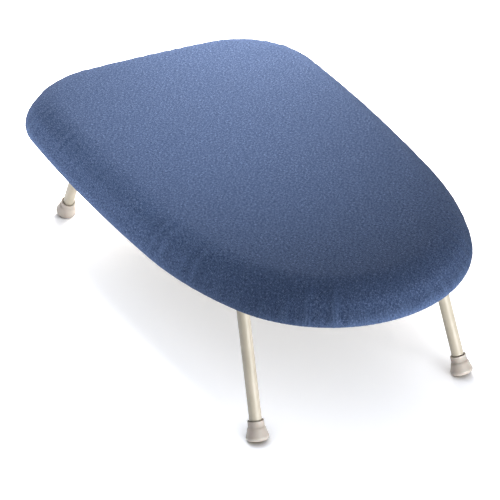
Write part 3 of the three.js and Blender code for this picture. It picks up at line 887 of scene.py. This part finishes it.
# -------- legs and feet
PIVOT_Z = JOINTS["front_leg"]["pos_m"][2]
CORNER_Y = FOOT_SPREAD - PIVOT_Z * SPLAY  # where a leg's arm and crossbar would meet without a bend
ARM_ANGLE = math.atan2(FOOT_SPREAD - CORNER_Y, PIVOT_Z / math.cos(LEAN))  # off square to the crossbar
TILT = math.atan(math.hypot(math.tan(LEAN), SPLAY))  # of an open arm off the vertical
FILLET = FOOT_BELL - FOOT_BASE
FOOT_DIP = FOOT_BASE * math.sin(TILT) + FILLET * (1 - math.cos(TILT))  # of its edge, below its middle
ARM_LENGTH = (PIVOT_Z - FOOT_DIP + FOOT_TRIM) / math.cos(TILT)  # from the corner to the foot's base


def arm_point(side, distance):
    """A point on an arm's centre line in the leg's own frame, this far from the corner."""
    return Vector((0, side * (CORNER_Y + distance * math.sin(ARM_ANGLE)), -distance * math.cos(ARM_ANGLE)))


def leg_placement(end):
    """The matrix that takes a leg's own frame, crossbar along Y and arms down, to its open place."""
    outwards = 1 if end == "front" else -1
    pivot = Vector(JOINTS[f"{end}_leg"]["pos_m"])
    return Matrix.Translation(pivot) @ Matrix.Rotation(-outwards * LEAN, 4, "Y")


def leg_line():
    """Centre line of the bent tube in the leg's own frame, from the left foot to the right one."""
    arm_points = 14
    bend_steps = 16
    bar_steps = 11
    turn = math.pi / 2 - ARM_ANGLE
    tangent = BEND_RADIUS * math.tan(turn / 2)
    end = ARM_LENGTH - FOOT_FLOOR - GAP
    line = []
    for side in (-1, 1):
        half = [arm_point(side, d) for d in np.linspace(end, tangent, arm_points)]
        centre = Vector((0, side * (CORNER_Y - tangent), -BEND_RADIUS))
        for step in range(1, bend_steps + 1):
            angle = turn * (1 - step / bend_steps)
            half.append(centre + Vector((0, side * math.sin(angle), math.cos(angle))) * BEND_RADIUS)
        line += half[::-side]
    middle = len(line) // 2
    bar = [line[middle - 1].lerp(line[middle], step / bar_steps) for step in range(1, bar_steps)]
    return line[:middle] + bar + line[middle:]


def swept_tube(line, outer, inner, sides):
    """Points and faces of a tube along a line in the YZ plane, cut off square at both ends."""
    across = Vector((1, 0, 0))
    rings = []
    for radius, order in ((outer, 1), (inner, -1)):
        wall = []
        for i, here in enumerate(line):
            before, after = line[max(i - 1, 0)], line[min(i + 1, len(line) - 1)]
            up = (after - before).normalized().cross(across)
            wall.append([here + (across * math.cos(t) + up * math.sin(t)) * radius for t in turns(sides)])
        rings += wall[::order]
    points = [point for ring in rings for point in ring]
    return points, band_faces(len(rings), sides, closed_rings=True)


def make_leg(end):
    place = leg_placement(end)
    points, faces = swept_tube(leg_line(), TUBE_RADIUS, TUBE_RADIUS - TUBE_WALL, 36)
    name = f"{end}_bent_tube"
    tube = link(name, mesh_from(name, [place @ p for p in points], faces))
    finish_piece(tube, ENAMEL, body=f"{end}_leg", replaces=[f"{end}_leg_tube"])
    for side, word in ((-1, "left"), (1, "right")):
        make_foot(end, side, word, place)


def foot_profile():
    """[radius, height] of the moulded foot, from the middle of its base to the floor of its bore."""
    base = section_arc(FOOT_BASE, FILLET, FILLET, -90, 0, 6)
    # The side is a quadratic curve from the widest point up to below the shoulder.
    widest = np.array([FOOT_BELL, FILLET + 1 * MM])
    middle = np.array([FOOT_BELL - 1.3 * MM, FILLET + 4.5 * MM])
    neck = np.array([FOOT_COLLAR + 1.2 * MM, FOOT_SHOULDER - 2.1 * MM])
    flare = [(1 - t) ** 2 * widest + 2 * t * (1 - t) * middle + t * t * neck for t in np.linspace(0, 1, 10)]
    # The shoulder closes in on the collar in small, softening steps.
    for out, below in ((1.0, 1.5), (0.7, 0.95), (0.4, 0.5), (0.15, 0.2), (0, 0)):
        flare.append((FOOT_COLLAR + out * MM, FOOT_SHOULDER - below * MM))
    lip = 0.7 * MM
    rim = section_arc(FOOT_COLLAR - lip, FOOT_HEIGHT - lip, lip, 0, 90, 4)
    chamfer = 0.2 * MM
    mouth = [(FOOT_BORE + chamfer, FOOT_HEIGHT), (FOOT_BORE, FOOT_HEIGHT - chamfer)]
    return [(0, 0), *base, *flare, *rim, *mouth, (FOOT_BORE, FOOT_FLOOR), (0, FOOT_FLOOR)]


def lathe(profile, sides):
    """Points and faces of a profile turned about Z. It starts and ends on the axis."""
    points = [(0, 0, profile[0][1])]
    for radius, z in profile[1:-1]:
        points += [(radius * math.cos(turn), radius * math.sin(turn), z) for turn in turns(sides)]
    points.append((0, 0, profile[-1][1]))
    faces = (band_faces(len(profile) - 2, sides) + 1)[:, ::-1].tolist()
    last = len(points) - 1
    start = last - sides
    for i in range(sides):
        k = (i + 1) % sides
        faces.append((0, 1 + k, 1 + i))
        faces.append((last, start + i, start + k))
    return [Vector(p) for p in points], faces


def make_foot(end, side, word, leg_place):
    """A foot on the end of an arm, cut flat where it meets the table."""
    points, faces = lathe(foot_profile(), 48)
    turn = Matrix.Rotation(side * ARM_ANGLE, 4, "X")
    place = leg_place @ Matrix.Translation(arm_point(side, ARM_LENGTH)) @ turn
    name = f"{end}_{word}_moulded_foot"
    mesh = mesh_from(name, [place @ p for p in points], faces)
    with edited(mesh) as shape:
        everything = shape.verts[:] + shape.edges[:] + shape.faces[:]
        cut = bmesh.ops.bisect_plane(
            shape, geom=everything, plane_co=(0, 0, 0), plane_no=(0, 0, -1), clear_outer=True)
        rim = [item for item in cut["geom_cut"] if isinstance(item, bmesh.types.BMEdge)]
        bmesh.ops.contextual_create(shape, geom=rim)
        bmesh.ops.recalc_face_normals(shape, faces=shape.faces)
    foot = link(name, mesh)
    finish_piece(foot, PVC, body=f"{end}_leg", replaces=[f"{end}_foot_{word}"])


# -------- pressings, clips and rivets
def softened(node, name, material, slot, width):
    """A copy of a CAD piece with its edges rounded over."""
    piece = link(name, frame["nodes"][node].data.copy())
    with edited(piece.data) as shape:
        bmesh.ops.remove_doubles(shape, verts=shape.verts, dist=0.002 * MM)
        bmesh.ops.dissolve_limit(shape, angle_limit=math.radians(1), verts=shape.verts, edges=shape.edges)
    bevel = piece.modifiers.new("rounded_edges", "BEVEL")
    bevel.width = width
    bevel.segments = 3
    bevel.limit_method = "ANGLE"
    bevel.angle_limit = math.radians(35)
    bevel.use_clamp_overlap = True
    finish_piece(applied(piece), material, replaces=[node], crease=50)


def make_pressings():
    steel = (ENAMEL, "painted_steel")
    nylon = (NYLON, "clip_plastic")
    for end in ("front", "rear"):
        softened(f"{end}_rail", f"{end}_hat_rail", *steel, 0.5 * MM)
        for word in ("left", "right"):
            softened(f"{end}_leg_bracket_{word}", f"{end}_{word}_strap_bracket", *steel, 0.35 * MM)
            softened(f"{end}_stow_clip_{word}", f"{end}_{word}_snap_clip", *nylon, 0.4 * MM)


def make_rivet(node):
    """A rivet with a domed head below and a rolled one above, in the place of the CAD one."""
    low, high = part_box(node)
    axis = Vector(((low.x + high.x) / 2, (low.y + high.y) / 2, 0))
    head = (high.y - low.y) / 2
    shank = 2 * MM
    dome = 1.6 * MM
    crown = 1.0 * MM if "clip" in node else 1.6 * MM
    under = low.z + dome
    over = high.z - crown
    domed = [(head * math.sin(t), under - dome * math.cos(t) ** 0.8) for t in np.linspace(0.15, 1.45, 9)]
    waist = [(head, under), (shank, under), (shank, over), (head * 0.95, over)]
    arc = np.linspace(0.3, 1.3, 6)
    rolled = [(head * 0.9 * math.cos(t), over + crown * 0.98 * math.sin(t)) for t in arc]
    points, faces = lathe([(0, low.z), *domed, *waist, *rolled, (0, high.z)], 28)
    name = node + "_turned"
    mesh = mesh_from(name, [p + axis for p in points], faces)
    finish_piece(link(name, mesh), ZINC, replaces=[node])


def make_rivets():
    for node in sorted(frame["nodes"]):
        if "rivet" in node:
            make_rivet(node)


# -------- stage, lights and camera
def table_glow(m):
    """Strength of the floor's glow, with painted shadow in it: full far out, a painted soft shadow under
    the board and painted contact shadows round its feet.
    """
    middle = (-0.054, 0.034, 0)  # of the shade under the board
    per_metre = (3.35, 5.8, 0)  # how fast the shade fades along and across it
    away = m.add("ShaderNodeVectorMath", {0: m.coordinates, 1: middle}, operation="SUBTRACT")
    away = m.scaled(away.outputs["Vector"], per_metre)
    away = m.add("ShaderNodeVectorMath", {0: away}, operation="LENGTH").outputs["Value"]
    # Painted shadow: the glow is weakest under the board and rises away from it.
    painted_shadow_glow = 0.365
    broad = m.remap(away, 0.42, 1.75, painted_shadow_glow, 1.0, interpolation_type="SMOOTHSTEP")
    # Painted contact shadows: the glow is cut where other pieces are close, as round the feet.
    painted_contact_shadow_ao = m.add("ShaderNodeAmbientOcclusion", {"Distance": 32 * MM}, samples=16).outputs["AO"]
    return m.math("MULTIPLY", broad, m.remap(painted_contact_shadow_ao, 0.0, 1.0, -0.6, 1.0))


def table_surface():
    """White acrylic that glows though it is no lamp, with painted shadow in its glow, and clear when it is
    seen from below.
    """
    m = Nodes("pale_floor", Roughness=0.85, Specular_IOR_Level=0.1, Base_Color=(0.85, 0.86, 0.88, 1))
    m.set(Emission_Color=(0.91, 0.935, 1, 1), Emission_Strength=table_glow(m))
    clear = m.add("ShaderNodeBsdfTransparent").outputs[0]
    from_below = m.add("ShaderNodeNewGeometry").outputs["Backfacing"]
    sides = m.add("ShaderNodeMixShader", {0: from_below, 1: m.shader.outputs[0], 2: clear})
    m.put(m.tree.nodes["Material Output"].inputs["Surface"], sides.outputs[0])
    return m.material


def make_floor():
    half = 12  # metres, so that it fills every view
    z = -0.05 * MM  # just under the feet
    corners = [(-half, -half, z), (half, -half, z), (half, half, z), (-half, half, z)]
    floor = link("floor", mesh_from("floor", corners, [(0, 1, 2, 3)]))
    floor.data.materials.append(table_surface())
    return floor


def spare(source, piece):
    """Keeps the light of a glowing surface off one piece."""
    receivers = bpy.data.collections.new(f"{source.name}_receivers")
    receivers.objects.link(piece)
    receivers.collection_objects[0].light_linking.link_state = "EXCLUDE"
    source.light_linking.receiver_collection = receivers


def area_light(name, place, target, size, power, color=(1, 1, 1), spread=180):
    light = bpy.data.lights.new(name, "AREA")
    light.shape = "RECTANGLE"
    light.size, light.size_y = size
    light.energy = power
    light.color = color
    light.spread = math.radians(spread)
    lamp = link(name, light)
    lamp.visible_camera = False
    lamp.location = place
    lamp.rotation_mode = "QUATERNION"
    lamp.rotation_quaternion = (Vector(target) - Vector(place)).to_track_quat("-Z", "Y")
    return lamp


def make_lights(cover):
    """Studio lamps, then a low one and three at table height that shine on the cover alone."""
    board = (0, 0, 0.1)
    warm = (1, 0.925, 0.84)
    cool = (0.92, 0.97, 1)
    square = (0.3, 0.3)
    wide = (0.8, 0.3)
    area_light("far_close", (-0.45, 0.25, 0.45), (-0.3, 0, 0.18), square, 9.7, warm)
    area_light("far_spot", (-0.35, 0.2, 1.1), (-0.2, 0.03, 0.18), (0.4, 0.4), 1.3, spread=60)
    area_light("near_spot", (0, -0.2, 0.9), (0.02, -0.06, 0.18), square, 0.55, cool, spread=50)
    area_light("overhead", (-0.2, 0.2, 2.4), (0, 0, 0), (2.5, 2.5), 5.5)
    area_light("low_front_right", (1.3, 0.3, 0.2), board, wide, 17.9)
    only_cover = bpy.data.collections.new("cover_only")
    only_cover.objects.link(cover)
    for lamp in (
        area_light("low_left", (-0.7, -1.1, 0.2), board, wide, 18),
        area_light("table_glow_left", (-0.15, -0.42, 0.02), (-0.15, -0.42, 1), (0.6, 0.25), 5),
        area_light("table_glow_nose", (0.55, -0.1, 0.02), (0.55, -0.1, 1), square, 1.2),
        area_light("table_glow_right", (0.5, 0.2, 0.02), (0.5, 0.2, 1), square, 1.9),
    ):
        lamp.light_linking.receiver_collection = only_cover
    world = bpy.data.worlds.new("studio")
    world.use_nodes = True
    world.node_tree.nodes["Background"].inputs["Color"].default_value = (1, 1, 1, 1)
    world.node_tree.nodes["Background"].inputs["Strength"].default_value = 0.05
    bpy.context.scene.world = world


def make_camera():
    azimuth = math.radians(-27.61)  # from +X, so over the left of the nose
    elevation = math.radians(32.35)
    distance = 2.0315
    left_of_origin = 7.3 * MM
    above_origin = 50.6 * MM
    back = Vector((
        math.cos(azimuth) * math.cos(elevation),
        math.sin(azimuth) * math.cos(elevation),
        math.sin(elevation),
    ))
    right = (-back).cross(Vector((0, 0, 1))).normalized()
    up = right.cross(-back)
    lens = bpy.data.cameras.new("camera")
    lens.sensor_width = 36
    lens.lens = 129.5
    camera = link("camera", lens)
    camera.location = back * distance - right * left_of_origin + up * above_origin
    camera.rotation_mode = "QUATERNION"
    camera.rotation_quaternion = (-back).to_track_quat("-Z", "Y")
    bpy.context.scene.camera = camera


make_camera()
bpy.context.scene.view_settings.view_transform = "Standard"
bpy.context.scene.view_settings.look = "None"

make_pad()
fitted_cover = make_cover()
make_lights(fitted_cover)
spare(make_floor(), fitted_cover)
make_wires()
Panel().make()
make_pressings()
make_rivets()
for leg_end in ("front", "rear"):
    make_leg(leg_end)
